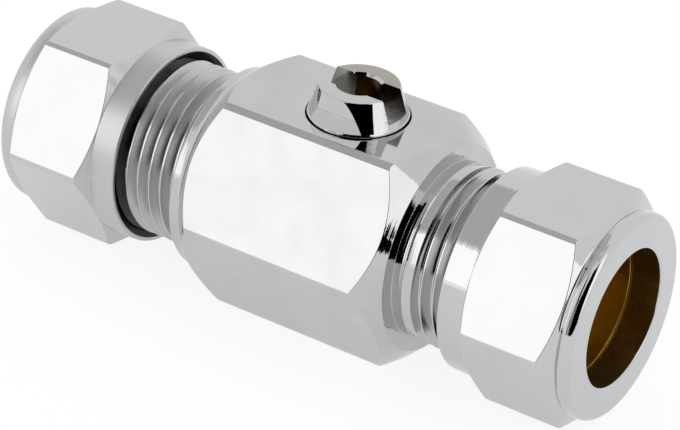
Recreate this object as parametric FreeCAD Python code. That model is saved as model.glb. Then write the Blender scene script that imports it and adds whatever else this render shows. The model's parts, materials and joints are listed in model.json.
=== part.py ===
import FreeCAD, Part
import math
import os
from FreeCAD import Vector

# Inline isolating valve for 15 mm tube, in millimetres.
# The pipe axis runs along X, the stem stands up along Z, and the valve rests on the bottom flat of its body.
# The origin lies on that flat, straight under the stem. Positive X is the end with the fixed spigot.

# Tube and compression ends
tube_diameter = 15.0
socket_gap = 0.15
olive_gap = 0.06
nut_hole_gap = 0.13
socket_depth = 12.5
spigot_wall = 2.35
spigot_end_chamfer = 0.6
mouth_flare = 1.05
thread_gap = 0.06
thread_pitch = 1.5
right_spigot_length = 12.2
left_spigot_length = 11.28
right_thread_start = 0.62
left_thread_start = 0.85

# Olive, a barrel ring with a cone at each end
olive_length = 7.0
olive_wall = 1.44
olive_end_wall = 0.44
olive_cone_angle = 30.0
olive_seat_gap = 0.1
olive_chamber_gap = 0.3

# Compression nut
nut_collar_wall = 1.38
nut_collar_length = 3.05
nut_collar_edge = 0.25
nut_countersink = 0.64
nut_flat_stand = 0.06
nut_hex_length = 10.75
nut_hex_chamfer_angle = 30.0
nut_corner_radius = 0.9
nut_flange_step = 0.06
nut_flange_length = 2.0
nut_flange_edge = 0.45
nut_hole_length = 3.43
nut_hole_edge = 0.2
nut_thread_relief = 0.7
left_nut_backed_off = 2.2
right_nut_backed_off = 0.0

# Ball and seat rings
port_diameter = 11.0
ball_wall = 3.0
ball_port_edge = 0.4
ball_gap = 0.25
seat_gap = 0.06
seat_bore_step = 0.25
seat_heel = 1.26
seat_length = 3.0
seat_edge_gap = 0.05
seat_end_gap = 0.02

# Stem with its seals
stem_diameter = 11.16
stem_gap = 0.07
stem_hole_edge = 0.1
stem_float = 0.1
stem_flange_step = 1.02
stem_flange_thickness = 0.9
well_gap = 0.1
washer_thickness = 0.5
washer_gap = 0.03
seal_land = 0.45
seal_groove_width = 1.35
seal_groove_depth = 1.1
o_ring_gap = 0.01
tang_thickness = 3.2
tang_seat_gap = 0.2
tang_gap = 0.1
tang_floor_wall = 0.8

# Stem head above the body
head_lip_height = 0.35
head_lip_step = 0.13
head_height = 3.55
head_top_radius = 4.36
head_edge = 0.15
head_across_flats = 8.6
screwdriver_slot_width = 3.4
screwdriver_slot_depth = 2.6
handle_hole_diameter = 4.6
handle_hole_depth = 4.2
drill_point_angle = 118.0

# Hexagonal body
hex_face_length = 24.45
hex_stem_offset = 1.75
hex_corner_radius = 1.3
shoulder_wall = 1.6
left_shoulder_length = 1.33
shoulder_edge = 0.2
end_piece_gap = 0.02

# Radii that follow from the sizes above
socket_radius = tube_diameter / 2 + socket_gap
thread_radius = socket_radius + spigot_wall
thread_root_radius = thread_radius - 0.6134 * thread_pitch
mouth_radius = socket_radius + mouth_flare
olive_bore_radius = tube_diameter / 2 + olive_gap
olive_radius = olive_bore_radius + olive_wall
olive_end_radius = olive_bore_radius + olive_end_wall
nut_hole_radius = tube_diameter / 2 + nut_hole_gap
nut_thread_radius = thread_radius + thread_gap
nut_collar_radius = nut_thread_radius + nut_collar_wall
nut_across_flats = 2 * (nut_collar_radius + nut_flat_stand)
nut_flange_radius = nut_across_flats / 2 - nut_flange_step
nut_chamber_radius = olive_radius + olive_chamber_gap
port_radius = port_diameter / 2
ball_radius = port_radius + ball_wall
cavity_radius = ball_radius + ball_gap
seat_bore_radius = port_radius + seat_bore_step
seat_radius = cavity_radius - seat_edge_gap
stem_radius = stem_diameter / 2
stem_hole_radius = stem_radius + stem_gap
stem_flange_radius = stem_radius + stem_flange_step
well_radius = stem_flange_radius + well_gap
groove_floor_radius = stem_radius - seal_groove_depth
shoulder_radius = thread_radius + shoulder_wall

# Heights above the pipe axis
flange_bottom = cavity_radius + stem_float
flange_top = flange_bottom + stem_flange_thickness
well_top = flange_top + washer_thickness
groove_bottom = well_top + seal_land
groove_top = groove_bottom + seal_groove_width
body_half_height = groove_top + seal_land
body_across_flats = 2 * body_half_height
head_top = body_half_height + head_height
lip_top = body_half_height + head_lip_height
tang_slot_floor = port_radius + tang_floor_wall

# Places along the pipe axis
hex_right = hex_face_length / 2 - hex_stem_offset
hex_left = -hex_face_length / 2 - hex_stem_offset
shoulder_drop = body_half_height - shoulder_radius
right_shoulder = hex_right + shoulder_drop
left_shoulder = hex_left - shoulder_drop - left_shoulder_length
right_spigot_end = right_shoulder + right_spigot_length
left_spigot_end = left_shoulder - left_spigot_length
seat_sphere_radius = ball_radius + seat_gap
seat_back = math.sqrt(seat_sphere_radius ** 2 - seat_bore_radius ** 2) + seat_heel
seat_front = seat_back - seat_length
tang_width = 2 * math.sqrt((seat_front - tang_seat_gap) ** 2 - (tang_thickness / 2) ** 2)
cavity_end = seat_back + seat_end_gap
end_piece_inner_end = -cavity_end - seat_end_gap

# Lengths inside the nut, measured from its inner rim
cone_slope = math.tan(math.radians(olive_cone_angle))
chamfer_slope = math.tan(math.radians(nut_hex_chamfer_angle))
nut_length = nut_collar_length + nut_hex_length + nut_flange_length
nut_cone_end = nut_length - nut_hole_length
nut_cone_start = nut_cone_end - (nut_chamber_radius - nut_hole_radius) / cone_slope
nut_thread_end = nut_cone_start - nut_thread_relief
nut_olive_stop = nut_cone_end - (olive_end_radius - nut_hole_radius) / cone_slope
olive_inset = (mouth_radius - olive_end_radius) / cone_slope - olive_seat_gap
nut_overlap = nut_olive_stop - olive_seat_gap - olive_length + olive_inset

AXIS_X = Vector(1, 0, 0)
AXIS_Z = Vector(0, 0, 1)
ORIGIN = Vector(0, 0, 0)
BASE_LIFT = Vector(0, 0, body_half_height)


def turned_on_pipe(corners):
    """Solid turned about the pipe axis from a closed outline of corners (x, radius)."""
    outline = [Vector(along, radius, 0) for along, radius in corners]
    face = Part.Face(Part.makePolygon(outline + outline[:1]))
    return face.revolve(ORIGIN, AXIS_X, 360)


def turned_on_stem(corners):
    """Solid turned about the stem axis from a closed outline of corners (z, radius)."""
    lying = turned_on_pipe(corners)
    lying.rotate(ORIGIN, Vector(0, 1, 0), -90)
    return lying


def hexagon_bar(across_flats, corner_radius, start, end):
    """Hexagonal bar along the pipe, flats at top and bottom, its long edges rounded."""
    corner_reach = across_flats / math.sqrt(3)
    turns = [math.radians(60 * step) for step in range(7)]
    ring = [Vector(start, corner_reach * math.cos(turn), corner_reach * math.sin(turn)) for turn in turns]
    bar = Part.Face(Part.makePolygon(ring)).extrude(AXIS_X * (end - start))
    long_edges = [edge for edge in bar.Edges if abs(edge.tangentAt(edge.FirstParameter).x) > 0.9]
    return bar.makeFillet(corner_radius, long_edges)


def centred_box(size_x, size_y, bottom, top):
    """Box centred on the stem axis between two heights."""
    corner = Vector(-size_x / 2, -size_y / 2, bottom)
    return Part.makeBox(size_x, size_y, top - bottom, corner)


def mirrored(shape):
    """The same piece for the other end of the pipe."""
    return shape.mirror(ORIGIN, AXIS_X)


def spigot_mouth(end, toward_middle):
    """Tube socket with its flared mouth, from the spigot's end to the stop; toward_middle is -1 or 1."""
    flare_depth = mouth_flare / cone_slope
    return [
        (end, mouth_radius),
        (end + toward_middle * flare_depth, socket_radius),
        (end + toward_middle * socket_depth, socket_radius),
        (end + toward_middle * socket_depth, port_radius),
    ]


def thread_rings(shoulder, end, first_crest):
    """Outline of a spigot's thread from the shoulder to its end, drawn as one ring for each turn."""
    outward = math.copysign(1, end - shoulder)
    outline = [(shoulder, thread_root_radius)]
    crest = first_crest
    while crest + thread_pitch / 2 < abs(end - shoulder):
        outline += [
            (shoulder + outward * (crest - thread_pitch / 16), thread_radius),
            (shoulder + outward * (crest + thread_pitch / 16), thread_radius),
            (shoulder + outward * (crest + thread_pitch / 2), thread_root_radius),
        ]
        crest += thread_pitch
    return outline + [(end, thread_radius - spigot_end_chamfer)]


def make_valve_body():
    """One machined hexagon bar: cavity and thread open to the left, fixed spigot to the right."""
    peak = body_across_flats / math.sqrt(3) + shoulder_drop
    rise = peak - shoulder_radius
    envelope = turned_on_pipe(
        [
            (left_shoulder, 0),
            (left_shoulder, shoulder_radius - shoulder_edge),
            (left_shoulder + shoulder_edge, shoulder_radius),
            (left_shoulder + left_shoulder_length, shoulder_radius),
            (left_shoulder + left_shoulder_length + rise, peak),
            (right_shoulder - rise, peak),
            (right_shoulder, shoulder_radius),
        ]
        + thread_rings(right_shoulder, right_spigot_end, right_thread_start)
        + [(right_spigot_end, 0)]
    )
    bar = hexagon_bar(body_across_flats, hex_corner_radius, left_shoulder, right_spigot_end)
    waterway = turned_on_pipe(
        [(right_spigot_end, 0)]
        + spigot_mouth(right_spigot_end, -1)
        + [
            (cavity_end, port_radius),
            (cavity_end, cavity_radius),
            (-cavity_end, cavity_radius),
            (-cavity_end, thread_radius + end_piece_gap),
            (left_shoulder, thread_radius + end_piece_gap),
            (left_shoulder, 0),
        ]
    )
    well = turned_on_stem([
        (0, 0),
        (0, well_radius),
        (well_top, well_radius),
        (well_top, stem_hole_radius),
        (body_half_height - stem_hole_edge, stem_hole_radius),
        (body_half_height, stem_hole_radius + stem_hole_edge),
        (body_half_height, 0),
    ])
    return bar.common(envelope).cut(waterway).cut(well)


def make_end_piece():
    """Threaded nipple that closes the cavity, holds the left seat and carries the left nut."""
    edge = spigot_end_chamfer
    return turned_on_pipe(
        spigot_mouth(left_spigot_end, 1)
        + [
            (end_piece_inner_end, port_radius),
            (end_piece_inner_end, thread_radius - edge),
            (end_piece_inner_end - edge, thread_radius),
            (left_shoulder, thread_radius),
        ]
        + thread_rings(left_shoulder, left_spigot_end, left_thread_start)
    )


def make_ball():
    """Sphere with a through port along the pipe and a cross slot on top for the stem's tang."""
    mouth = port_radius + ball_port_edge
    port_end = math.sqrt(ball_radius ** 2 - mouth ** 2)
    inside = [
        Vector(-port_end, mouth, 0),
        Vector(-port_end + ball_port_edge, port_radius, 0),
        Vector(port_end - ball_port_edge, port_radius, 0),
        Vector(port_end, mouth, 0),
    ]
    crown = Part.Arc(inside[-1], Vector(0, ball_radius, 0), inside[0]).toShape()
    outline = Part.Wire(Part.makePolygon(inside).Edges + [crown])
    turned = Part.Face(outline).revolve(ORIGIN, AXIS_X, 360)
    slot = centred_box(tang_thickness + 2 * tang_gap, 2 * ball_radius, tang_slot_floor, ball_radius)
    return turned.cut(slot)


def make_seat_ring():
    """Right-hand seat: a plain ring whose inner corner is hollowed to the ball."""
    ring = turned_on_pipe([
        (seat_front, seat_bore_radius),
        (seat_back, seat_bore_radius),
        (seat_back, seat_radius),
        (seat_front, seat_radius),
    ])
    return ring.cut(Part.makeSphere(seat_sphere_radius))


def make_stem():
    """Turned stem, put in from inside: tang, flange, seal groove and slotted conical head."""
    turned = turned_on_stem([
        (flange_bottom, 0),
        (flange_bottom, stem_flange_radius),
        (flange_top, stem_flange_radius),
        (flange_top, stem_radius),
        (groove_bottom, stem_radius),
        (groove_bottom, groove_floor_radius),
        (groove_top, groove_floor_radius),
        (groove_top, stem_radius),
        (lip_top - head_lip_step, stem_radius),
        (lip_top, stem_radius - head_lip_step),
        (head_top - head_edge, head_top_radius),
        (head_top, head_top_radius - head_edge),
        (head_top, 0),
    ])
    side_depth = stem_radius - head_across_flats / 2
    for side in (-1, 1):
        near = min(side * head_across_flats / 2, side * stem_radius)
        flat = Part.makeBox(2 * stem_radius, side_depth, head_height, Vector(-stem_radius, near, lip_top))
        turned = turned.cut(flat)
    slot = centred_box(2 * stem_radius, screwdriver_slot_width, head_top - screwdriver_slot_depth, head_top)
    hole_radius = handle_hole_diameter / 2
    point_depth = hole_radius / math.tan(math.radians(drill_point_angle / 2))
    hole = turned_on_stem([
        (head_top - handle_hole_depth - point_depth, 0),
        (head_top - handle_hole_depth, hole_radius),
        (head_top, hole_radius),
        (head_top, 0),
    ])
    tang = centred_box(tang_thickness, tang_width, tang_slot_floor + tang_gap, flange_bottom)
    return turned.cut(slot).cut(hole).fuse(tang).removeSplitter()


def make_o_ring():
    """Seal ring in the stem's groove, its round section drawn with eight sides."""
    reach = (seal_groove_depth - o_ring_gap) / 2
    corner_reach = reach / math.cos(math.pi / 8)
    middle_height = (groove_bottom + groove_top) / 2
    middle_radius = groove_floor_radius + o_ring_gap + reach
    turns = [math.pi / 8 + math.pi / 4 * step for step in range(8)]
    return turned_on_stem([
        (middle_height + corner_reach * math.cos(turn), middle_radius + corner_reach * math.sin(turn))
        for turn in turns
    ])


def make_washer():
    """Flat slip ring between the stem's flange and the roof of its well."""
    return turned_on_stem([
        (flange_top + washer_gap, stem_radius + washer_gap),
        (well_top - washer_gap, stem_radius + washer_gap),
        (well_top - washer_gap, well_radius - washer_gap),
        (flange_top + washer_gap, well_radius - washer_gap),
    ])


def make_nut(rim):
    """Compression nut for the right end, its inner rim at the given place on the pipe axis."""
    end = rim + nut_length
    half_flats = nut_across_flats / 2
    peak = nut_across_flats / math.sqrt(3) + nut_flange_step
    hex_start = rim + nut_collar_length
    hex_end = hex_start + nut_hex_length
    envelope = turned_on_pipe([
        (rim, 0),
        (rim, nut_collar_radius - nut_collar_edge),
        (rim + nut_collar_edge, nut_collar_radius),
        (hex_start, nut_collar_radius),
        (hex_start + (peak - nut_collar_radius) * chamfer_slope, peak),
        (hex_end - (peak - half_flats) * chamfer_slope, peak),
        (hex_end + nut_flange_step * chamfer_slope, nut_flange_radius),
        (end - nut_flange_edge, nut_flange_radius),
        (end, nut_flange_radius - nut_flange_edge),
        (end, 0),
    ])
    bore = turned_on_pipe([
        (rim, 0),
        (rim, nut_thread_radius + nut_countersink),
        (rim + nut_countersink, nut_thread_radius),
        (rim + nut_thread_end, nut_thread_radius),
        (rim + nut_thread_end, nut_chamber_radius),
        (rim + nut_cone_start, nut_chamber_radius),
        (rim + nut_cone_end, nut_hole_radius),
        (end - nut_hole_edge, nut_hole_radius),
        (end, nut_hole_radius + nut_hole_edge),
        (end, 0),
    ])
    bar = hexagon_bar(nut_across_flats, nut_corner_radius, rim, end)
    return bar.common(envelope).cut(bore)


def make_olive(rim):
    """Olive for the right end, lying in the cone of a nut whose inner rim is given."""
    outer_end = rim + nut_olive_stop - olive_seat_gap
    inner_end = outer_end - olive_length
    cone_length = (olive_wall - olive_end_wall) / cone_slope
    return turned_on_pipe([
        (inner_end, olive_bore_radius),
        (outer_end, olive_bore_radius),
        (outer_end, olive_end_radius),
        (outer_end - cone_length, olive_radius),
        (inner_end + cone_length, olive_radius),
        (inner_end, olive_end_radius),
    ])


right_rim = right_spigot_end - nut_overlap + right_nut_backed_off
left_rim = -left_spigot_end - nut_overlap + left_nut_backed_off
right_seat = make_seat_ring()

pieces = {
    "valve_body": make_valve_body(),
    "end_piece": make_end_piece(),
    "ball": make_ball(),
    "right_seat_ring": right_seat,
    "left_seat_ring": mirrored(right_seat),
    "stem": make_stem(),
    "stem_o_ring": make_o_ring(),
    "stem_washer": make_washer(),
    "right_nut": make_nut(right_rim),
    "left_nut": mirrored(make_nut(left_rim)),
    "right_olive": make_olive(right_rim),
    "left_olive": mirrored(make_olive(left_rim)),
}

os.makedirs("parts", exist_ok=True)
for name, piece in pieces.items():
    solid = piece.Solids[0]
    solid.translate(BASE_LIFT)
    solid.exportStep(f"parts/{name}.step")
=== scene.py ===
# %% [markdown]
# # A chrome-plated isolating valve
# The valve sits in a run of 15 mm tube. A slotted stem turns a ball inside a hexagonal body, and a nut at
# each end squeezes a brass ring, the olive, onto the tube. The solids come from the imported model, which
# is a fixed frame here: this lesson dresses them with real threads, softened edges and finishes.

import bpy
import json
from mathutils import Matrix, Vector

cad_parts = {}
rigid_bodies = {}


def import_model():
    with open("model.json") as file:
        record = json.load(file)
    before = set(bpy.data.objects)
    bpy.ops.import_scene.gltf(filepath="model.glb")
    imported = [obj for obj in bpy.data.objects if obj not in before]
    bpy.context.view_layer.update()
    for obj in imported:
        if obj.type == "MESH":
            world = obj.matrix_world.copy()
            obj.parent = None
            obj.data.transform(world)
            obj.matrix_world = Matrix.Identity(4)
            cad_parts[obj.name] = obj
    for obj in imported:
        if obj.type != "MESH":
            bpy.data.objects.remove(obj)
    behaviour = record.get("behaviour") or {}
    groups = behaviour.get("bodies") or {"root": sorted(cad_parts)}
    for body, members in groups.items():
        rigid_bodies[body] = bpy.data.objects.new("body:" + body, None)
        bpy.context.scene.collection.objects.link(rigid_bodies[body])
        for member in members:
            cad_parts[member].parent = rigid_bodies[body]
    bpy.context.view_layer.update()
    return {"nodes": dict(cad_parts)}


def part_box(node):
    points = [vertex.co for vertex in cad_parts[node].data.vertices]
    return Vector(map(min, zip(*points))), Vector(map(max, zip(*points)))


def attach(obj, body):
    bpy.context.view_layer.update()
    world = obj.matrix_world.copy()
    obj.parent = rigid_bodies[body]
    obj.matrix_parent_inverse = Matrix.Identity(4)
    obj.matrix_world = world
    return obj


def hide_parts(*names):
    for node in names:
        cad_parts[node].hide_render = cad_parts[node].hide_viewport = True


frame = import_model()
print("solids:", sorted(frame["nodes"]))

# %% Import what the lesson needs
import json
import math

import bmesh
import bpy
import numpy as np
from mathutils import Matrix, Vector

MM = 0.001

# %% [markdown]
# ## Measure the solids
# A mesh that stands for a solid has to stay where the solid is. So the main sizes are read from the frame,
# in millimetres, and only what a box can't tell, such as a wall or a thread, is written down as a value.


# %% Read sizes from the frame
def box_mm(node):
    """Lowest and highest corner of a solid, in millimetres."""
    low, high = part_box(node)
    return low / MM, high / MM


body_low, body_high = box_mm("valve_body")
end_low, end_high = box_mm("end_piece")
stem_high = box_mm("stem")[1]
ball_low = box_mm("ball")[0]
pipe_height = (body_low.z + body_high.z) / 2
body_across_flats = body_high.z - body_low.z
thread_radius = (end_high.z - end_low.z) / 2
ball_radius = pipe_height - ball_low.z
print(f"pipe axis {pipe_height:.2f} mm up, body {body_across_flats:.2f} mm across flats")

# %% [markdown]
# ## Skins of turned metal
# Every metal piece here is turned on a lathe, some of them from hexagonal bar. A skin is a grid: columns go
# round the axis and rows follow the outline. On a hexagon the reach of a row changes from column to column,
# so a taper and a flat meet on a true curved edge, with no boolean and no jagged line.


# %% Columns round a hexagon or a plain bar
def bar_turns(columns=144):
    """Evenly spaced angles round a plain bar."""
    return np.arange(columns) * 2 * math.pi / columns


def flat_half_turn(across_flats, edge_radius):
    """Half the angle that a flat takes, up to where its rounded long edge starts."""
    apothem = across_flats / 2
    return math.atan((apothem - edge_radius) * math.tan(math.pi / 6) / apothem)


def hexagon_turns(across_flats, edge_radius, flat_steps=28, edge_steps=6):
    """Angles from +Y towards +Z, with columns exactly where each flat meets its rounded edges."""
    half = flat_half_turn(across_flats, edge_radius)
    flat = np.linspace(-half, half, flat_steps + 1)
    edge = np.linspace(half, math.pi / 3 - half, edge_steps + 1)[1:-1]
    sector = np.concatenate([flat, edge]) + math.pi / 6
    return np.concatenate([sector + math.pi / 3 * side for side in range(6)])


def hexagon_reach(turns, across_flats, edge_radius):
    """Distance from the axis to the hexagon's skin in each column."""
    apothem = across_flats / 2
    off_flat = np.abs(np.mod(turns, math.pi / 3) - math.pi / 6)
    off_edge = math.pi / 6 - off_flat
    centre = (apothem - edge_radius) / math.cos(math.pi / 6)
    rounded = centre * np.cos(off_edge) + np.sqrt(
        np.maximum(edge_radius ** 2 - (centre * np.sin(off_edge)) ** 2, 0)
    )
    on_flat = off_flat <= flat_half_turn(across_flats, edge_radius) + 1e-9
    return np.where(on_flat, apothem / np.cos(off_flat), rounded)


hex_edge_radius = 1.3
print("columns round the body:", len(hexagon_turns(body_across_flats, hex_edge_radius)))


# %% [markdown]
# ## Rows with softened corners
# No machined edge is perfectly sharp, and plating rounds it further. A thin line of light along each edge
# is what makes metal look real. So each corner of an outline carries a rounding and becomes a short arc,
# which never takes more than a fixed share of the shorter side next to it.

# %% Rows of an outline
ARC_STEPS = 4
ARC_SHARE = 0.45


def soften(before, here, after, rounding):
    """Rows that replace one corner by an arc; all columns at once."""
    if not rounding:
        return [here]
    back = before - here
    ahead = after - here
    back_length = np.hypot(back[0], back[1])
    ahead_length = np.hypot(ahead[0], ahead[1])
    back = back / back_length
    ahead = ahead / ahead_length
    half = np.arccos(np.clip((back * ahead).sum(0), -0.9999, 0.9999)) / 2
    step = np.minimum(rounding / np.tan(half), ARC_SHARE * np.minimum(back_length, ahead_length))
    start = here + back * step
    end = here + ahead * step
    rows = []
    for share in np.linspace(0, 1, ARC_STEPS + 1):
        near, middle, far = (1 - share) ** 2, 2 * share * (1 - share) * np.sin(half), share ** 2
        rows.append((near * start + middle * here + far * end) / (near + middle + far))
    return rows


def outline_rows(items, columns):
    """Rows and seam shifts of a closed outline. An item is a corner (along, reach, rounding), or a
    ready block of rows with the number of rows that its helix climbs in one turn."""
    blocks = []
    for item in items:
        if isinstance(item, dict):
            blocks.append(item["rows"])
        else:
            spot = [np.broadcast_to(value, columns).astype(float) for value in item[:2]]
            blocks.append(np.array([spot]))
    rows, partners = [], []
    for index, item in enumerate(items):
        first = len(rows)
        if isinstance(item, dict):
            rows.extend(item["rows"])
            last = len(rows) - 1
            climbed = np.arange(first, last + 1) + item["climb"]
            partners.extend(np.clip(climbed, first, last))
        else:
            after = blocks[(index + 1) % len(blocks)][0]
            rows.extend(soften(blocks[index - 1][-1], blocks[index][0], after, item[2]))
            partners.extend(range(first, len(rows)))
    return np.array(rows), np.array(partners)


# %% [markdown]
# ## Screw threads
# The spigots carry a right-handed metric thread with a 1.5 mm pitch. Bump shading can't give its outline or
# its dark grooves, so the rows of a thread climb along the helix itself: each row is one crest edge or one
# root edge, and it stays sharp all the way round. A form lists places off the crest, in shares of the
# pitch, and the reach at each of them.

# %% Rows of a thread
thread_pitch = 1.5
male_depth = 1.06
female_depth = 0.87
thread_gap = 0.06
nut_thread_radius = thread_radius + thread_gap
male_thread = {
    "off_crest": [0.05, 0.40, 0.45, 0.485],
    "reach": [thread_radius - male_depth * share for share in (0, 0.93, 0.985, 1)],
}
female_thread = {
    "off_crest": [0.083, 0.41],
    "reach": [nut_thread_radius, nut_thread_radius - female_depth],
}


def thread_reach(along, turns, form, crest_at_front):
    """Radius of the thread at each place; crest_at_front is where a crest crosses the -Y side."""
    turn_share = (turns - math.pi) / (2 * math.pi)
    phase = (along - crest_at_front) / thread_pitch - turn_share
    return np.interp(np.abs(phase - np.round(phase)), form["off_crest"], form["reach"])


def thread_rows(start, end, turns, form, crest_at_front, end_chamfer=0.0):
    """A block of rows from start to end, clipped there, with the number of rows that one turn climbs."""
    low, high = min(start, end), max(start, end)
    stations = [-share for share in reversed(form["off_crest"])] + form["off_crest"]
    first = math.floor((low - crest_at_front) / thread_pitch) - 2
    last = math.ceil((high - crest_at_front) / thread_pitch) + 2
    climb = thread_pitch * (turns - math.pi) / (2 * math.pi)
    rows = []
    for lead in range(first, last + 1):
        for station in stations:
            along = np.clip(crest_at_front + (lead + station) * thread_pitch + climb, low, high)
            reach = thread_reach(along, turns, form, crest_at_front)
            to_end = np.abs(along - (high if abs(high) > abs(low) else low))
            if end_chamfer:
                reach = np.minimum(reach, form["reach"][0] - np.maximum(end_chamfer - to_end, 0))
            rows.append([along, reach])
    rows = np.array(rows)
    if end < start:
        return {"rows": rows[::-1], "climb": -len(stations)}
    return {"rows": rows, "climb": len(stations)}


print(f"thread: {thread_pitch} mm pitch, {male_depth} mm deep on the spigots")


# %% [markdown]
# ## From rows to a mesh
# The grid closes in both directions, so each piece is one watertight skin. Rows that were clipped at a
# thread's end fall together, and merging them leaves clean triangles there. Weighted normals keep the big
# faces flat in their reflections and let only the small arcs bend.

# %% Build a skin
SAME_SPOT = 2e-7
NO_LENGTH = 1e-7


def along_pipe(along, reach, turns):
    """Places round the pipe's axis."""
    return along, reach * np.cos(turns), pipe_height + reach * np.sin(turns)


def along_stem(along, reach, turns):
    """Places round the stem's upright axis."""
    return reach * np.cos(turns), reach * np.sin(turns), along


def make_skin(name, items, turns, place=along_pipe):
    """Mesh object of a closed outline swept round an axis."""
    columns = len(turns)
    rows, partners = outline_rows(items, columns)
    spots = np.stack(np.broadcast_arrays(*place(rows[:, 0], rows[:, 1], turns)), axis=-1) * MM
    here = np.arange(len(rows))
    following = np.roll(here, -1)
    faces = []
    for column in range(columns):
        right = (column + 1) % columns
        match = partners if right == 0 else here
        corners = [
            here * columns + column,
            match * columns + right,
            match[following] * columns + right,
            following * columns + column,
        ]
        faces.append(np.stack(corners, axis=-1))
    mesh = bpy.data.meshes.new(name)
    mesh.from_pydata(spots.reshape(-1, 3).tolist(), [], np.concatenate(faces).tolist())
    clean = bmesh.new()
    clean.from_mesh(mesh)
    bmesh.ops.remove_doubles(clean, verts=clean.verts, dist=SAME_SPOT)
    bmesh.ops.dissolve_degenerate(clean, edges=clean.edges, dist=NO_LENGTH)
    bmesh.ops.recalc_face_normals(clean, faces=clean.faces)
    clean.to_mesh(mesh)
    clean.free()
    piece = bpy.data.objects.new(name, mesh)
    bpy.context.scene.collection.objects.link(piece)
    return piece


# %% [markdown]
# ## Cutting and tying
# A slot or a hole is carved with a boolean: the tool is a block or another skin, and it is gone afterwards.
# A finished piece is then tied to the frame. It rides on one body of the mechanism and stands for one solid.


# %% Cutters
def make_block(name, low, high):
    """Plain box between two corners in millimetres, used as a cutter or a tang."""
    mesh = bpy.data.meshes.new(name)
    shape = bmesh.new()
    bmesh.ops.create_cube(shape, size=1.0)
    size = Vector(high) - Vector(low)
    middle = (Vector(high) + Vector(low)) / 2
    shape.transform(Matrix.Translation(middle * MM) @ Matrix.Diagonal((*(size * MM), 1)))
    shape.to_mesh(mesh)
    shape.free()
    block = bpy.data.objects.new(name, mesh)
    bpy.context.scene.collection.objects.link(block)
    return block


def carve(piece, tool, operation="DIFFERENCE"):
    """Applies a boolean with a tool and removes the tool."""
    cut = piece.modifiers.new("carve", "BOOLEAN")
    cut.operation = operation
    cut.solver = "EXACT"
    cut.object = tool
    graph = bpy.context.evaluated_depsgraph_get()
    carved = bpy.data.meshes.new_from_object(piece.evaluated_get(graph))
    carved.name = piece.name
    piece.modifiers.remove(cut)
    piece.data = carved
    bpy.data.objects.remove(tool)
    return piece


# %% Tie a piece to the frame
def dress(piece, body, slot, *nodes, crisp_from=35):
    """Smooth shading with crisp edges, then the ties to the frame."""
    piece.data.polygons.foreach_set("use_smooth", [True] * len(piece.data.polygons))
    piece.data.set_sharp_from_angle(angle=math.radians(crisp_from))
    weighted = piece.modifiers.new("flat faces stay flat", "WEIGHTED_NORMAL")
    weighted.keep_sharp = True
    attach(piece, body)
    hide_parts(*nodes)
    count = sum(len(face.vertices) - 2 for face in piece.data.polygons)
    print(f"{piece.name}: {count} triangles, rides on {body}")


# %% [markdown]
# ## Finishes
# The outside is brass under bright chrome plate. Chrome is darker than it seems: it returns little more than
# half of the light, which is why white surroundings look light grey in it. The lathe leaves fine rings that
# fray the edges of each reflection, and the drawn hexagon bar leaves faint lines along its flats. The nuts
# are a shade lighter and bluer than the body. The left nut and the threads are duller, so what they
# reflect blurs to grey.


# %% Node helpers
def new_finish(name):
    """Material with its node tree and its main shader."""
    material = bpy.data.materials.new(name)
    material.use_nodes = True
    tree = material.node_tree
    return material, tree, tree.nodes["Principled BSDF"]


def node(tree, kind, inputs=(), **settings):
    """Adds a node, sets its settings and its numbered or named inputs."""
    made = tree.nodes.new(kind)
    for key, value in settings.items():
        setattr(made, key, value)
    for key, value in dict(inputs).items():
        if isinstance(value, bpy.types.NodeSocket):
            tree.links.new(value, made.inputs[key])
        else:
            made.inputs[key].default_value = value
    return made


def ring_position(tree, axis):
    """Vector (along, reach, 0): a pattern on it runs in rings round the pipe or the stem."""
    spot = node(tree, "ShaderNodeTexCoord").outputs["Object"]
    parts = node(tree, "ShaderNodeSeparateXYZ", {0: spot})
    if axis == "pipe":
        up = node(tree, "ShaderNodeMath", {0: parts.outputs["Z"], 1: pipe_height * MM}, operation="SUBTRACT")
        across = node(tree, "ShaderNodeCombineXYZ", {"X": parts.outputs["Y"], "Y": up.outputs[0]})
        along = parts.outputs["X"]
    else:
        across = node(tree, "ShaderNodeCombineXYZ", {"X": parts.outputs["X"], "Y": parts.outputs["Y"]})
        along = parts.outputs["Z"]
    reach = node(tree, "ShaderNodeVectorMath", {0: across.outputs[0]}, operation="LENGTH")
    drift = node(tree, "ShaderNodeMath", {0: parts.outputs["Y"], 1: 0.02}, operation="MULTIPLY")
    return node(
        tree, "ShaderNodeCombineXYZ", {"X": along, "Y": reach.outputs["Value"], "Z": drift.outputs[0]}
    ).outputs[0]


def stretched_position(tree, scale):
    """Object coordinates squeezed along one direction, for lines left by drawing."""
    spot = node(tree, "ShaderNodeTexCoord").outputs["Object"]
    return node(tree, "ShaderNodeVectorMath", {0: spot, 1: scale}, operation="MULTIPLY").outputs[0]


# %% Patterns
NOISE_LOW = 0.3
NOISE_HIGH = 0.7


def add_bump(tree, shader, heights):
    """Stacks height patterns, each with its own depth in metres, into the shader's normal."""
    normal = None
    for height, depth in heights:
        inputs = {"Height": height, "Distance": depth, "Strength": 1.0}
        if normal is not None:
            inputs["Normal"] = normal
        normal = node(tree, "ShaderNodeBump", inputs).outputs["Normal"]
    tree.links.new(normal, shader.inputs["Normal"])


def noise(tree, vector, size_mm, detail=2.0):
    """Noise whose bumps are about size_mm across."""
    inputs = {"Vector": vector, "Scale": 1 / (size_mm * MM), "Detail": detail}
    return node(tree, "ShaderNodeTexNoise", inputs).outputs["Fac"]


def vary(tree, factor, low, high):
    """A number that follows a noise from low to high."""
    inputs = {"Value": factor, "From Min": NOISE_LOW, "From Max": NOISE_HIGH, "To Min": low, "To Max": high}
    return node(tree, "ShaderNodeMapRange", inputs).outputs["Result"]


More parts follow.
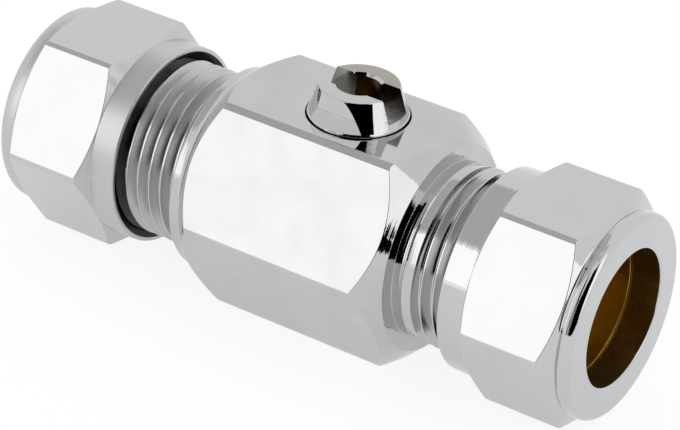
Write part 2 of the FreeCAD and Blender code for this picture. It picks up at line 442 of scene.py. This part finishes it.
def tint(tree, factor, low, high):
    """A colour that follows a noise from low to high."""
    ramp = node(tree, "ShaderNodeValToRGB", {"Fac": factor})
    ramp.color_ramp.elements[0].position = NOISE_LOW
    ramp.color_ramp.elements[0].color = (*low, 1)
    ramp.color_ramp.elements[1].position = NOISE_HIGH
    ramp.color_ramp.elements[1].color = (*high, 1)
    return ramp.outputs["Color"]


# %% Chrome plate
nut_chrome = ((0.532, 0.538, 0.548), (0.546, 0.552, 0.562))
body_chrome = ((0.494, 0.500, 0.495), (0.529, 0.533, 0.530))


def chrome_plate(name, tones, marks, mark_depth_mm, roughness=(0.035, 0.075)):
    """Bright chrome over machining marks; marks is a height pattern made in the finish's tree."""
    material, tree, shader = new_finish(name)
    spot = node(tree, "ShaderNodeTexCoord").outputs["Object"]
    cloud = noise(tree, spot, 4.0)
    grain = noise(tree, spot, 0.08, 3.0)
    shader.inputs["Metallic"].default_value = 1.0
    tree.links.new(tint(tree, cloud, *tones), shader.inputs["Base Color"])
    tree.links.new(vary(tree, grain, *roughness), shader.inputs["Roughness"])
    ripple = noise(tree, spot, 1.6, 1.0)
    add_bump(tree, shader, [(ripple, 0.0010 * MM), (marks(tree), mark_depth_mm * MM)])
    return material


def pipe_rings(tree):
    return noise(tree, ring_position(tree, "pipe"), 0.28)


def stem_rings(tree):
    return noise(tree, ring_position(tree, "stem"), 0.28)


def drawn_lines(tree):
    return noise(tree, stretched_position(tree, (0.02, 1.0, 1.0)), 0.25)


body_turned = chrome_plate("body_turned", body_chrome, pipe_rings, 0.015)
body_drawn = chrome_plate("body_drawn", body_chrome, drawn_lines, 0.0008)
body_thread = chrome_plate("body_thread", body_chrome, pipe_rings, 0.02, (0.10, 0.20))
end_thread = chrome_plate("end_thread", body_chrome, pipe_rings, 0.02, (0.24, 0.34))
stem_turned = chrome_plate("stem_turned", body_chrome, stem_rings, 0.006)
nut_turned = chrome_plate("nut_turned", nut_chrome, pipe_rings, 0.015)
nut_dull = chrome_plate("nut_dull", nut_chrome, pipe_rings, 0.012, (0.30, 0.40))
nut_drawn = chrome_plate("nut_drawn", nut_chrome, drawn_lines, 0.0008)
body_finishes = (body_turned, body_drawn, body_thread, end_thread, stem_turned)
nut_finishes = (nut_turned, nut_dull, nut_drawn)
print("chrome finishes:", [finish.name for finish in body_finishes + nut_finishes])

# %% [markdown]
# ## Bare brass
# Plating hardly reaches into a bore, so the holes and the olives are bare brass, a little dull by now.
# The tube's socket is a warm amber, and the nut's hole is greyer.


# %% Bare brass
def bare_brass(name, marks, fresh, dull, roughness=(0.26, 0.31)):
    """Unplated metal that goes from a fresh to a dull colour in soft clouds."""
    material, tree, shader = new_finish(name)
    spot = node(tree, "ShaderNodeTexCoord").outputs["Object"]
    cloud = noise(tree, spot, 2.5)
    shader.inputs["Metallic"].default_value = 1.0
    tree.links.new(tint(tree, cloud, dull, fresh), shader.inputs["Base Color"])
    tree.links.new(vary(tree, cloud, *roughness), shader.inputs["Roughness"])
    add_bump(tree, shader, [(marks(tree), 0.008 * MM)])
    return material


brass_bore = bare_brass("brass_bore", pipe_rings, (0.81, 0.56, 0.09), (0.78, 0.535, 0.085))
brass_nut_hole = bare_brass("brass_nut_hole", pipe_rings, (0.41, 0.315, 0.15), (0.38, 0.29, 0.135))
brass_olive = bare_brass("brass_olive", pipe_rings, (0.81, 0.56, 0.10), (0.78, 0.535, 0.09))
brass_hole = bare_brass("brass_hole", stem_rings, (0.26, 0.18, 0.07), (0.13, 0.09, 0.035))
brass_finishes = (brass_bore, brass_nut_hole, brass_olive, brass_hole)
print("brass finishes:", [finish.name for finish in brass_finishes])

# %% [markdown]
# ## Marks of use and painted shade
# A screwdriver has been in the slot and scraped its floor, and the far half of the stem's top is rubbed to a
# warm, faintly pink tone. The slot's walls are painted dark as shade, less dark on the half at -X. The
# thread inside a nut is painted nearly black as shade. All of these are metal as well, so the same kind of
# finish serves with other colours. The thread inside a nut is nearly black with cutting
# oil. All of these are metal as well, so the same kind of finish serves with other colours.

# %% Used metal and painted shade
# The slot's walls are painted shade: dark metal in the recess, less dark on the half at -X.
slot_wall_light_shade = bare_brass("slot_wall_light_shade", stem_rings, (0.27, 0.27, 0.255), (0.16, 0.158, 0.148), (0.06, 0.12))
slot_wall_deep_shade = bare_brass("slot_wall_deep_shade", stem_rings, (0.17, 0.165, 0.15), (0.09, 0.086, 0.075), (0.10, 0.25))
slot_scraped = bare_brass("slot_scraped", stem_rings, (0.55, 0.55, 0.54), (0.30, 0.30, 0.29), (0.35, 0.5))
worn_top = bare_brass("worn_top", stem_rings, (0.375, 0.352, 0.295), (0.315, 0.308, 0.328), (0.10, 0.16))
# Painted shade: a near-black finish for threads that lie in shade inside a nut.
thread_painted_shade = bare_brass("thread_painted_shade", pipe_rings, (0.07, 0.07, 0.07), (0.03, 0.03, 0.03), (0.3, 0.45))
used_metal_and_painted_shade = (slot_wall_light_shade, slot_wall_deep_shade, slot_scraped, worn_top, thread_painted_shade)
print("marks of use:", [finish.name for finish in used_metal_and_painted_shade])

# %% [markdown]
# ## Plastic and rubber
# The seats and the slip ring are white fluoropolymer with a waxy skin, and the seal is black rubber. They
# hardly show, but a part in a library is also seen taken apart, so they get a fine grain as well.


# %% Seat plastic and seal rubber
def soft_finish(name, pale, dark, roughness, grain_mm, depth_mm):
    """Plastic or rubber with a fine grain; depth_mm is how deep the grain is."""
    material, tree, shader = new_finish(name)
    spot = node(tree, "ShaderNodeTexCoord").outputs["Object"]
    cloud = noise(tree, spot, 3.0)
    grain = noise(tree, spot, grain_mm, 3.0)
    tree.links.new(tint(tree, cloud, dark, pale), shader.inputs["Base Color"])
    tree.links.new(vary(tree, grain, *roughness), shader.inputs["Roughness"])
    add_bump(tree, shader, [(grain, depth_mm * MM)])
    return material


seat_finish = soft_finish("seat_finish", (0.90, 0.90, 0.88), (0.84, 0.84, 0.81), (0.36, 0.48), 0.15, 0.002)
seal_finish = soft_finish(
    "seal_finish", (0.030, 0.030, 0.031), (0.018, 0.018, 0.019), (0.44, 0.56), 0.06, 0.003
)
print("soft finishes:", seat_finish.name, seal_finish.name)

# %% [markdown]
# ## Which finish goes where
# One skin can be plated outside, bare in its bore and rough on its thread. Each face tells by its centre
# and its normal what it is: a face leans outward or inward when its normal does so by more than a little.

# %% Paint faces by where they are
LEANING = 0.05
NEAR = 0.02


def paint(piece, finishes, choose):
    """Gives each face one of the finishes; choose takes the faces' centres (mm) and normals."""
    for finish in finishes:
        piece.data.materials.append(finish)
    count = len(piece.data.polygons)
    centres = np.zeros(count * 3)
    normals = np.zeros(count * 3)
    piece.data.polygons.foreach_get("center", centres)
    piece.data.polygons.foreach_get("normal", normals)
    chosen = choose(centres.reshape(-1, 3) / MM, normals.reshape(-1, 3))
    piece.data.polygons.foreach_set("material_index", chosen.astype(int))


def pipe_finish(across_flats, bare_here, dull_here):
    """Chooser for a piece on the pipe: 0 turned, 1 drawn flat, 2 bare bore, 3 thread. The last two take
    (along, reach, outward), where outward is above 0 on the outside of the piece and below 0 in a bore."""
    def choose(centres, normals):
        along = np.abs(centres[:, 0])
        reach = np.hypot(centres[:, 1], centres[:, 2] - pipe_height)
        outward = (normals[:, 1] * centres[:, 1] + normals[:, 2] * (centres[:, 2] - pipe_height)) / reach
        flat = (np.abs(normals[:, 0]) < NEAR) & (reach > across_flats / 2 - NEAR)
        bare = bare_here(along, reach, outward)
        dull = dull_here(along, reach, outward)
        return np.select([dull, bare, flat], [3, 2, 1], 0)
    return choose


def on_male_thread(along, reach, outward):
    """Everything between the bright crests and the root."""
    crest_edge = thread_radius - 0.12
    root = thread_radius - male_depth - 0.05
    return (outward > -LEANING) & (reach < crest_edge) & (reach > root)


# %% [markdown]
# ## The valve body
# The body is one length of hexagon bar. The lathe tapered both ends, turned the round shoulder on the left
# and the threaded spigot on the right, then bored it through. A straight hole from the top takes the stem.
# Beside the right shoulder the spigot keeps a plain neck with one fine ridge, and the thread begins after
# it. One closed outline gives all of that in a single skin; only the stem's well is carved out afterwards.

# %% Body sizes
shoulder_radius = 11.6
left_shoulder_length = 1.33
shoulder_sweep = 1.4
crest_rounding = 0.10
spigot_chamfer = 0.6
mouth_flare = 1.05
socket_radius = 7.65
socket_depth = 12.5
port_radius = 5.5
cavity_radius = 8.75
cavity_end = 7.62
end_hole_gap = 0.02
end_hole_radius = thread_radius + end_hole_gap
taper_slope = math.tan(math.radians(30))
flare_depth = mouth_flare / taper_slope
right_spigot_length = 12.2
neck_length = 2.4
neck_step = 0.1
ridge_from_shoulder = 1.3
ridge_half_width = 0.1
right_shoulder = body_high.x - right_spigot_length
neck_radius = thread_radius - neck_step
neck_ridge = right_shoulder + ridge_from_shoulder
neck_end = right_shoulder + neck_length
right_crest_at_front = 15.0
left_crest_at_front = -20.05


def spigot_mouth(end, inward):
    """Flared mouth, tube socket and stop, from the end of a spigot towards the middle."""
    return [
        (end, socket_radius + mouth_flare, 0.12),
        (end + inward * flare_depth, socket_radius, 0.1),
        (end + inward * socket_depth, socket_radius, 0.15),
        (end + inward * socket_depth, port_radius, 0.15),
    ]


print(f"right shoulder at {right_shoulder:.2f} mm, thread from {neck_end:.2f} mm")


# %% Build the body
body_turns = hexagon_turns(body_across_flats, hex_edge_radius)
body_reach = hexagon_reach(body_turns, body_across_flats, hex_edge_radius)
left_shoulder = body_low.x
left_taper = left_shoulder + left_shoulder_length
body_rise = body_reach - shoulder_radius
valve_body = make_skin(
    "valve_body_skin",
    [
        (left_shoulder, end_hole_radius, 0.05),
        (left_shoulder, shoulder_radius, 0.2),
        (left_taper, shoulder_radius, shoulder_sweep),
        (left_taper + body_rise, body_reach, crest_rounding),
        (right_shoulder - body_rise, body_reach, crest_rounding),
        (right_shoulder, shoulder_radius, 0.1),
        (right_shoulder, neck_radius, 0.05),
        (neck_ridge - ridge_half_width, neck_radius, 0.03),
        (neck_ridge, thread_radius, 0.04),
        (neck_ridge + ridge_half_width, neck_radius, 0.03),
        (neck_end, neck_radius, 0),
        thread_rows(
            neck_end, body_high.x, body_turns, male_thread, right_crest_at_front, spigot_chamfer
        ),
        *spigot_mouth(body_high.x, -1),
        (cavity_end, port_radius, 0.05),
        (cavity_end, cavity_radius, 0.05),
        (-cavity_end, cavity_radius, 0.05),
        (-cavity_end, end_hole_radius, 0.05),
    ],
    body_turns,
)

# %% [markdown]
# ## The well for the stem
# The stem goes in from inside the body, so its well is wider below than at the top. A turned cutter with
# the same outline as the stem's seat is carved out of the skin, and the edge in the top flat is broken a
# little so that it catches the light.

# %% Carve the well
stem_radius = 5.58
stem_gap = 0.07
flange_gap = 0.1
roof_thickness = 2.25
cutter_overlap = 1
stem_hole_radius = stem_radius + stem_gap
well_radius = stem_high.x + flange_gap
well_top = body_high.z - roof_thickness
hole_edge = 0.03
well_cutter = make_skin(
    "well_cutter",
    [
        (pipe_height, 0, 0),
        (pipe_height, well_radius, 0),
        (well_top, well_radius, 0),
        (well_top, stem_hole_radius, 0.05),
        (body_high.z - hole_edge, stem_hole_radius, 0),
        (body_high.z, stem_hole_radius + hole_edge, 0),
        (body_high.z + cutter_overlap, stem_hole_radius + hole_edge + cutter_overlap, 0),
        (body_high.z + cutter_overlap, 0, 0),
    ],
    bar_turns(),
    along_stem,
)
carve(valve_body, well_cutter)

# %% Finish the body
bore_edge = 0.1
paint(
    valve_body,
    [body_turned, body_drawn, brass_bore, body_thread],
    pipe_finish(
        body_across_flats,
        lambda along, reach, outward: (outward < -LEANING) & (reach < end_hole_radius + bore_edge),
        on_male_thread,
    ),
)
dress(valve_body, "housing", "chrome", "valve_body")

# %% [markdown]
# ## The end piece
# The ball went in through the left end, so that end is closed by a threaded nipple. Its thread shows
# between the body's round shoulder and the left nut. Inside the body it is hidden, so there it stays a
# plain cylinder. The turns just under the left nut's rim are painted nearly black: painted shade and a
# painted dark reflection inside the nut.

# %% Build the end piece
end_columns = 192
thread_seam = 0.02
end_piece = make_skin(
    "end_piece_skin",
    [
        *spigot_mouth(end_low.x, 1),
        (end_high.x, port_radius, 0.1),
        (end_high.x, thread_radius - spigot_chamfer, 0.1),
        (end_high.x - spigot_chamfer, thread_radius, 0.1),
        (left_shoulder + thread_seam, thread_radius, 0),
        thread_rows(
            left_shoulder,
            end_low.x,
            bar_turns(end_columns),
            male_thread,
            left_crest_at_front,
            spigot_chamfer,
        ),
    ],
    bar_turns(end_columns),
)

# %% Finish the end piece
no_flats = 100
end_wall = 1.2
painted_shade_width = 1.4
left_rim = -box_mm("left_nut")[1].x
end_piece_finish = pipe_finish(
    no_flats,
    lambda along, reach, outward: (outward < -LEANING) & (reach < thread_radius - end_wall),
    on_male_thread,
)


def with_painted_shade(centres, normals):
    """As before, with 4 for the turns just under the nut's rim, painted nearly black as shade."""
    behind_rim = -centres[:, 0] - left_rim
    # Painted shade: the turns inside the nut, just past its rim.
    under_nut = (behind_rim > 0) & (behind_rim < painted_shade_width)
    chosen = end_piece_finish(centres, normals)
    return np.where(under_nut & (chosen != 2), 4, chosen)


paint(end_piece, [body_turned, body_drawn, brass_bore, end_thread, thread_painted_shade], with_painted_shade)
dress(end_piece, "housing", "chrome", "end_piece")

# %% [markdown]
# ## The compression nuts
# A nut starts as the same kind of bar. Its inner end is a round collar, then a taper runs up to the corners
# of the hexagon, and a second taper comes down to a small round flange with a soft edge. Inside are the
# thread, a chamber, the cone that presses on the olive and the hole for the tube. The left nut is the same
# outline turned the other way, but its thread stays right-handed, so the thread isn't mirrored. On the
# right nut the flange has a deeper root, which draws the dark line round it; on the left it is almost flat.

# %% Nut sizes
nut_edge_radius = 0.9
nut_collar_radius = 11.44
nut_collar_length = 3.05
nut_hex_length = 10.75
nut_flange_step = 0.06
nut_flange_rounding = 0.6
nut_draft = 0.1
nut_flange_foot = 0.75
nut_countersink = 0.85
nut_hole_radius = 7.63
nut_hole_length = 3.43
nut_hole_edge = 0.3
nut_chamber_radius = 9.3
nut_thread_relief = 0.7
right_flange_root = 0.24
left_flange_root = 0.02
print(f"nut: collar {nut_collar_length} mm, hexagon {nut_hex_length} mm long")


# %% Build a nut
def make_nut(side_name, outward, crest_at_front, flange_root, turned_finish):
    """One nut, drawn from its rim outwards; outward is 1 on the right and -1 on the left."""
    node_name = f"{side_name}_nut"
    low, high = box_mm(node_name)
    across_flats = high.z - low.z
    rim, end = sorted((outward * low.x, outward * high.x))
    turns = hexagon_turns(across_flats, nut_edge_radius)
    reach = hexagon_reach(turns, across_flats, nut_edge_radius)
    hex_start = rim + nut_collar_length
    hex_end = hex_start + nut_hex_length
    flange_radius = across_flats / 2 - nut_flange_step
    cone_end = end - nut_hole_length
    cone_start = cone_end - (nut_chamber_radius - nut_hole_radius) / taper_slope
    thread_end = cone_start - nut_thread_relief
    corners = [
        (rim, nut_thread_radius + nut_countersink, 0.05),
        (rim, nut_collar_radius - nut_draft, 0.2),
        (hex_start, nut_collar_radius, 0.12),
        (hex_start + (reach - nut_collar_radius) * taper_slope, reach, crest_rounding),
        (hex_end - (reach - across_flats / 2) * taper_slope, reach, crest_rounding),
        (hex_end + (nut_flange_step + flange_root) * taper_slope, flange_radius - flange_root, 0.3),
        (hex_end + nut_flange_foot, flange_radius, 0.3),
        (end, flange_radius - nut_draft, nut_flange_rounding),
        (end, nut_hole_radius, 0.2),
        (cone_end, nut_hole_radius, 0.05),
        (cone_start, nut_chamber_radius, 0.15),
        (thread_end, nut_chamber_radius, 0.1),
    ]
    items = [(outward * along, distance, rounding) for along, distance, rounding in corners]
    thread_start = rim + nut_countersink
    items.append(
        thread_rows(outward * thread_end, outward * thread_start, turns, female_thread, crest_at_front)
    )
    nut = make_skin(f"{node_name}_skin", items, turns)

    def in_bore(along, reach, outward):
        past_edge = (along < end - nut_hole_edge) | (reach < nut_hole_radius + 0.01)
        return (outward < -LEANING) & (along > thread_end) & past_edge

    # The faces this picks get painted shade: a near-black finish for the thread in the nut's shade.
    def in_thread(along, reach, outward):
        inside_rim = reach < nut_thread_radius + nut_countersink - 0.1
        return (outward < -LEANING) & (along <= thread_end) & inside_rim

    paint(
        nut,
        [turned_finish, nut_drawn, brass_nut_hole, thread_painted_shade],
        pipe_finish(across_flats, in_bore, in_thread),
    )
    dress(nut, f"{side_name}_screw", "chrome", node_name)


make_nut("right", 1, right_crest_at_front, right_flange_root, nut_turned)
make_nut("left", -1, left_crest_at_front, left_flange_root, nut_dull)

# %% [markdown]
# ## The olives
# An olive is a short brass barrel with a cone at each end. The nut and the spigot's mouth press on the
# cones, and the ring bites into the tube. Through the nut's hole it shows as amber behind one bright line,
# so its nose reaches out until it almost meets the edge of that hole.

# %% Build the olives
olive_bore_radius = 7.56
olive_end_radius = 8.0
olive_nose = 0.54
olive_nose_radius = olive_end_radius - olive_nose * taper_slope


def make_olive(side_name, outward):
    """One olive; outward is 1 on the right and -1 on the left."""
    node_name = f"{side_name}_olive"
    low, high = box_mm(node_name)
    inner, outer = sorted((outward * low.x, outward * high.x))
    barrel = (high.z - low.z) / 2
    cone = (barrel - olive_end_radius) / taper_slope
    corners = [
        (inner, olive_bore_radius, 0.04),
        (inner, olive_end_radius, 0.1),
        (inner + cone, barrel, 0.4),
        (outer - cone, barrel, 0.4),
        (outer + olive_nose, olive_nose_radius, 0.03),
        (outer + olive_nose, olive_bore_radius, 0.04),
    ]
    olive = make_skin(
        f"{node_name}_skin",
        [(outward * along, reach, rounding) for along, reach, rounding in corners],
        bar_turns(),
    )
    olive.data.materials.append(brass_olive)
    dress(olive, f"{side_name}_slider", "brass", node_name)


make_olive("right", 1)
make_olive("left", -1)

# %% [markdown]
# ## The ball
# The ball is what opens and shuts the valve: a plated sphere with a hole as wide as the waterway and a
# slot across its top for the stem. The sphere's outline is a formula, so its rows are spaced evenly along
# the arc.

# %% Build the ball
port_edge = 0.4
mouth_turn = math.asin((port_radius + port_edge) / ball_radius)
arc_rows = 40
arc = np.linspace(mouth_turn, math.pi - mouth_turn, arc_rows)
sphere_rows = [(ball_radius * math.cos(turn), ball_radius * math.sin(turn), 0) for turn in arc]
port_end = ball_radius * math.cos(mouth_turn)
ball = make_skin(
    "ball_skin",
    [*sphere_rows, (port_edge - port_end, port_radius, 0.1), (port_end - port_edge, port_radius, 0.1)],
    bar_turns(),
)
tang_thickness = 3.2
tang_gap = 0.1
slot_web = 0.8
cutter_reach = 10
slot_floor = pipe_height + port_radius + slot_web
slot_half = tang_thickness / 2 + tang_gap
carve(
    ball,
    make_block(
        "slot_cutter",
        (-slot_half, -cutter_reach, slot_floor),
        (slot_half, cutter_reach, pipe_height + cutter_reach),
    ),
)
ball.data.materials.append(nut_turned)
dress(ball, "spindle", "chrome", "ball")

# %% [markdown]
# ## The stem
# The stem is the part a screwdriver turns. Its head is a cone with two flats for a spanner, a slot along the
# waterway that shows whether the valve is open, and a drilled hole for a lever's screw. The turned form
# comes first, and the flats, the slot and the hole are carved from it as a miller would.

# %% Stem sizes
flange_from_pipe = 8.85
flange_thickness = 0.9
seal_groove_depth = 1.1
seal_groove_width = 1.35
seal_below_top = 0.45
lip_height = 0.35
lip_step = 0.13
lip_recess = 0.1
flange_bottom = pipe_height + flange_from_pipe
groove_floor_radius = stem_radius - seal_groove_depth
groove_top = body_high.z - seal_below_top
groove_bottom = groove_top - seal_groove_width
lip_top = body_high.z + lip_height
lip_radius = stem_radius - lip_recess
head_top = stem_high.z
head_top_radius = 4.36
head_across_flats = 8.6
slot_width = 3.4
slot_depth = 2.6
hole_radius = 2.3
hole_depth = 4.2
hole_countersink = 0.3
drill_half_angle = math.radians(59)
hole_point = hole_radius / math.tan(drill_half_angle)
tang_bottom = slot_floor + tang_gap
tang_corner_radius = 4.4
tang_sunk = 0.3
tang_half_width = math.sqrt(tang_corner_radius ** 2 - (tang_thickness / 2) ** 2)
print(f"stem: head {head_top - lip_top:.2f} mm tall, slot {slot_width} mm wide")

# %% Turn the stem
stem = make_skin(
    "stem_skin",
    [
        (flange_bottom, 0, 0),
        (flange_bottom, stem_high.x, 0.1),
        (flange_bottom + flange_thickness, stem_high.x, 0.1),
        (flange_bottom + flange_thickness, stem_radius, 0.08),
        (groove_bottom, stem_radius, 0.08),
        (groove_bottom, groove_floor_radius, 0.1),
        (groove_top, groove_floor_radius, 0.1),
        (groove_top, lip_radius, 0.08),
        (lip_top - lip_step, lip_radius, 0.05),
        (lip_top, lip_radius - lip_step, 0.05),
        (head_top, head_top_radius, 0.14),
        (head_top, 0, 0),
    ],
    bar_turns(),
    along_stem,
)

# %% Mill the head and add the tang
hole_columns = 72
mill_reach = 8
mill_top = head_top + cutter_overlap
for side in (-1, 1):
    near, far = sorted((side * head_across_flats / 2, side * mill_reach))
    carve(stem, make_block("flat_cutter", (-mill_reach, near, lip_top), (mill_reach, far, mill_top)))
carve(
    stem,
    make_block(
        "slot_cutter",
        (-mill_reach, -slot_width / 2, head_top - slot_depth),
        (mill_reach, slot_width / 2, mill_top),
    ),
)
hole_cutter = make_skin(
    "hole_cutter",
    [
        (head_top - hole_depth - hole_point, 0, 0),
        (head_top - hole_depth, hole_radius, 0.05),
        (head_top - hole_countersink, hole_radius, 0.05),
        (mill_top, hole_radius + hole_countersink + cutter_overlap, 0),
        (mill_top, 0, 0),
    ],
    bar_turns(hole_columns),
    along_stem,
)
carve(stem, hole_cutter)
tang = make_block(
    "tang",
    (-tang_thickness / 2, -tang_half_width, tang_bottom),
    (tang_thickness / 2, tang_half_width, flange_bottom + tang_sunk),
)
carve(stem, tang, "UNION")


# %% Finish the stem
def stem_finish(centres, normals):
    """0 plated, 1 bare brass of the hole, 2 and 3 walls of the slot in painted shade, 4 its floor, 5 worn
    top.
    """
    reach = np.hypot(centres[:, 0], centres[:, 1])
    height = centres[:, 2]
    margin = 0.1
    facing = 0.9
    head = height > head_top - hole_depth - hole_point - margin
    in_slot = (np.abs(centres[:, 1]) < slot_width / 2 + NEAR) & (height < head_top - margin) & head
    # The walls get painted shade, less dark on the half at -X.
    wall = in_slot & (np.abs(normals[:, 1]) > facing)
    on_ground = np.abs(height - head_top + slot_depth) < margin / 2
    slot_ground = in_slot & (normals[:, 2] > facing) & on_ground
    below_edge = height < head_top - hole_countersink
    drilled = head & below_edge & (reach < hole_radius + NEAR) & ~wall & ~slot_ground
    level_top = (normals[:, 2] > 0.95) & (height > head_top - margin / 2)
    worn = level_top & (centres[:, 1] > 0)
    left = centres[:, 0] < 0
    return np.select([wall & left, wall, slot_ground, drilled, worn], [2, 3, 4, 1, 5], 0)


paint(
    stem,
    [stem_turned, brass_hole, slot_wall_light_shade, slot_wall_deep_shade, slot_scraped, worn_top],
    stem_finish,
)
dress(stem, "spindle", "chrome", "stem", crisp_from=18)

# %% [markdown]
# ## Seals
# The seal in the stem's groove is a plain rubber ring with a round section. The slip ring and the two seats
# are right as solids already, so they stay and only get their finish.

# %% Build the seal and dress the plastic rings
seal_low, seal_high = box_mm("stem_o_ring")
seal_radius = (seal_high.z - seal_low.z) / 2
seal_middle = (seal_high.z + seal_low.z) / 2
seal_gap = 0.01
seal_reach = groove_floor_radius + seal_gap + seal_radius
section_steps = 24
section = np.linspace(0, 2 * math.pi, section_steps, endpoint=False)
o_ring = make_skin(
    "stem_o_ring_skin",
    [
        (seal_middle + seal_radius * math.cos(turn), seal_reach + seal_radius * math.sin(turn), 0)
        for turn in section
    ],
    bar_turns(),
    along_stem,
)
o_ring.data.materials.append(seal_finish)
dress(o_ring, "spindle", "seal_rubber", "stem_o_ring")
for ring_name in ("left_seat_ring", "right_seat_ring", "stem_washer"):
    ring = frame["nodes"][ring_name]
    ring.data.materials.clear()
    ring.data.materials.append(seat_finish)
    print(ring_name, "keeps its solid in", seat_finish.name)

# %% [markdown]
# ## The studio
# Polished metal has no colour of its own to speak of: it shows the room. The reflections tell of a white
# surround with a soft box at the front left, another at the right, a greyer ceiling and a dark gap round
# the lens. Panels on a wide dome give such a room. The camera doesn't see them, so any view has the clean
# white background.


# %% What the lens sees
def seen_share(tree, straight, mirrored):
    """A number for what the lens sees straight or through glass, another for what it sees in a mirror,
    and 0 for light on its way."""
    path = node(tree, "ShaderNodeLightPath")
    share = None
    for ray, amount in (("Camera", straight), ("Transmission", straight), ("Glossy", mirrored)):
        kind = {0: path.outputs[f"Is {ray} Ray"], 1: amount}
        part = node(tree, "ShaderNodeMath", kind, operation="MULTIPLY").outputs[0]
        if share is not None:
            part = node(tree, "ShaderNodeMath", {0: share, 1: part}, operation="MAXIMUM").outputs[0]
        share = part
    return share


# %% Floor
floor_half = 3.0
floor_drop = 0.05 * MM
floor_mesh = bpy.data.meshes.new("floor")
floor_signs = ((-1, -1), (1, -1), (1, 1), (-1, 1))
floor_corners = [(x * floor_half, y * floor_half, -floor_drop) for x, y in floor_signs]
floor_mesh.from_pydata(floor_corners, [], [(0, 1, 2, 3)])
floor = bpy.data.objects.new("floor", floor_mesh)
bpy.context.scene.collection.objects.link(floor)
floor_paint, floor_tree, floor_shader = new_finish("floor_paint")
floor_shader.inputs["Base Color"].default_value = (0.93, 0.93, 0.93, 1)
floor_shader.inputs["Roughness"].default_value = 0.9
floor_shader.inputs["Specular IOR Level"].default_value = 0.0
floor_glow = node(floor_tree, "ShaderNodeEmission", {"Color": (1, 1, 1, 1), "Strength": 1.0})
glow_straight = 0.88
glow_mirrored = 0.70
glow_share = seen_share(floor_tree, glow_straight, glow_mirrored)
floor_blend = node(
    floor_tree,
    "ShaderNodeMixShader",
    {0: glow_share, 1: floor_shader.outputs[0], 2: floor_glow.outputs[0]},
)
floor_tree.links.new(floor_blend.outputs[0], floor_tree.nodes["Material Output"].inputs["Surface"])
floor_mesh.materials.append(floor_paint)
print("floor reaches", floor_half, "m each way")

# %% White surround
room = bpy.data.worlds.new("white_surround")
room.use_nodes = True
bpy.context.scene.world = room
room_tree = room.node_tree
room_light = room_tree.nodes["Background"]
room_seen = 1.0
room_unseen = 1.1
seen_in_room = seen_share(room_tree, room_seen, room_seen)
level_range = {"Value": seen_in_room, "To Min": room_unseen, "To Max": room_seen}
level = node(room_tree, "ShaderNodeMapRange", level_range)
room_light.inputs["Color"].default_value = (1, 1, 1, 1)
room_tree.links.new(level.outputs["Result"], room_light.inputs["Strength"])
print("surround:", room.name, "level", room_unseen)


# %% Soft boxes and the dark gap
PANEL_STEPS = 25


def dome_panel(name, azimuths, elevations, distance, strength, lights_room):
    """Patch of a dome round the valve; azimuth 0 is towards -Y and 90 towards +X."""
    across, rise = np.meshgrid(
        np.radians(np.linspace(*azimuths, PANEL_STEPS)), np.radians(np.linspace(*elevations, PANEL_STEPS))
    )
    spots = np.stack(
        [np.sin(across) * np.cos(rise), -np.cos(across) * np.cos(rise), np.sin(rise)], axis=-1
    ) * distance
    index = np.arange(PANEL_STEPS ** 2).reshape(PANEL_STEPS, PANEL_STEPS)
    faces = np.stack([index[:-1, :-1], index[:-1, 1:], index[1:, 1:], index[1:, :-1]], axis=-1)
    mesh = bpy.data.meshes.new(name)
    mesh.from_pydata(spots.reshape(-1, 3).tolist(), [], faces.reshape(-1, 4).tolist())
    panel = bpy.data.objects.new(name, mesh)
    bpy.context.scene.collection.objects.link(panel)
    glow, tree, shader = new_finish(name)
    shader.inputs["Base Color"].default_value = (0, 0, 0, 1)
    shader.inputs["Specular IOR Level"].default_value = 0.0
    shader.inputs["Emission Color"].default_value = (1, 1, 1, 1)
    shader.inputs["Emission Strength"].default_value = strength
    mesh.materials.append(glow)
    panel.visible_camera = False
    panel.visible_shadow = False
    panel.visible_diffuse = lights_room
    print(f"{name}: azimuth {azimuths}, elevation {elevations}, level {strength}")


dome_panel("front_soft_box", (-46, -22), (5, 40), 1.40, 1.76, True)
dome_panel("soft_box_foot", (-46, -22), (1.5, 5), 1.40, 1.35, True)
dome_panel("right_soft_box", (68, 101), (0.5, 62), 1.40, 1.60, True)
dome_panel("dark_gap", (-8, 68), (0, 70), 1.30, 0.0, False)
dome_panel("grey_ceiling", (-146, -26), (43, 84), 1.35, 0.64, False)

# %% [markdown]
# ## Camera
# The photograph was taken with a long lens from the right and above, with the camera tilted a few degrees.
# The place, the direction and the lens were fitted to the edges of the valve, so the frame needs no shift.

# %% Place the camera
camera_data = bpy.data.cameras.new("photo_camera")
camera = bpy.data.objects.new("photo_camera", camera_data)
bpy.context.scene.collection.objects.link(camera)
camera_azimuth = math.radians(32.508)
camera_elevation = math.radians(31.330)
camera_roll = math.radians(2.842)
camera_place = Vector((152.649, -242.157, 186.527)) * MM
toward_camera = Vector((
    math.sin(camera_azimuth) * math.cos(camera_elevation),
    -math.cos(camera_azimuth) * math.cos(camera_elevation),
    math.sin(camera_elevation),
))
level_view = (-toward_camera).to_track_quat("-Z", "Y").to_matrix().to_4x4()
camera.matrix_world = Matrix.Translation(camera_place) @ level_view @ Matrix.Rotation(camera_roll, 4, "Z")
camera_data.sensor_width = 36.0
camera_data.lens = 164.437
camera_data.clip_start = 0.01
bpy.context.scene.camera = camera
bpy.context.scene.view_settings.view_transform = "Standard"
print("camera", [round(value, 4) for value in camera.location])
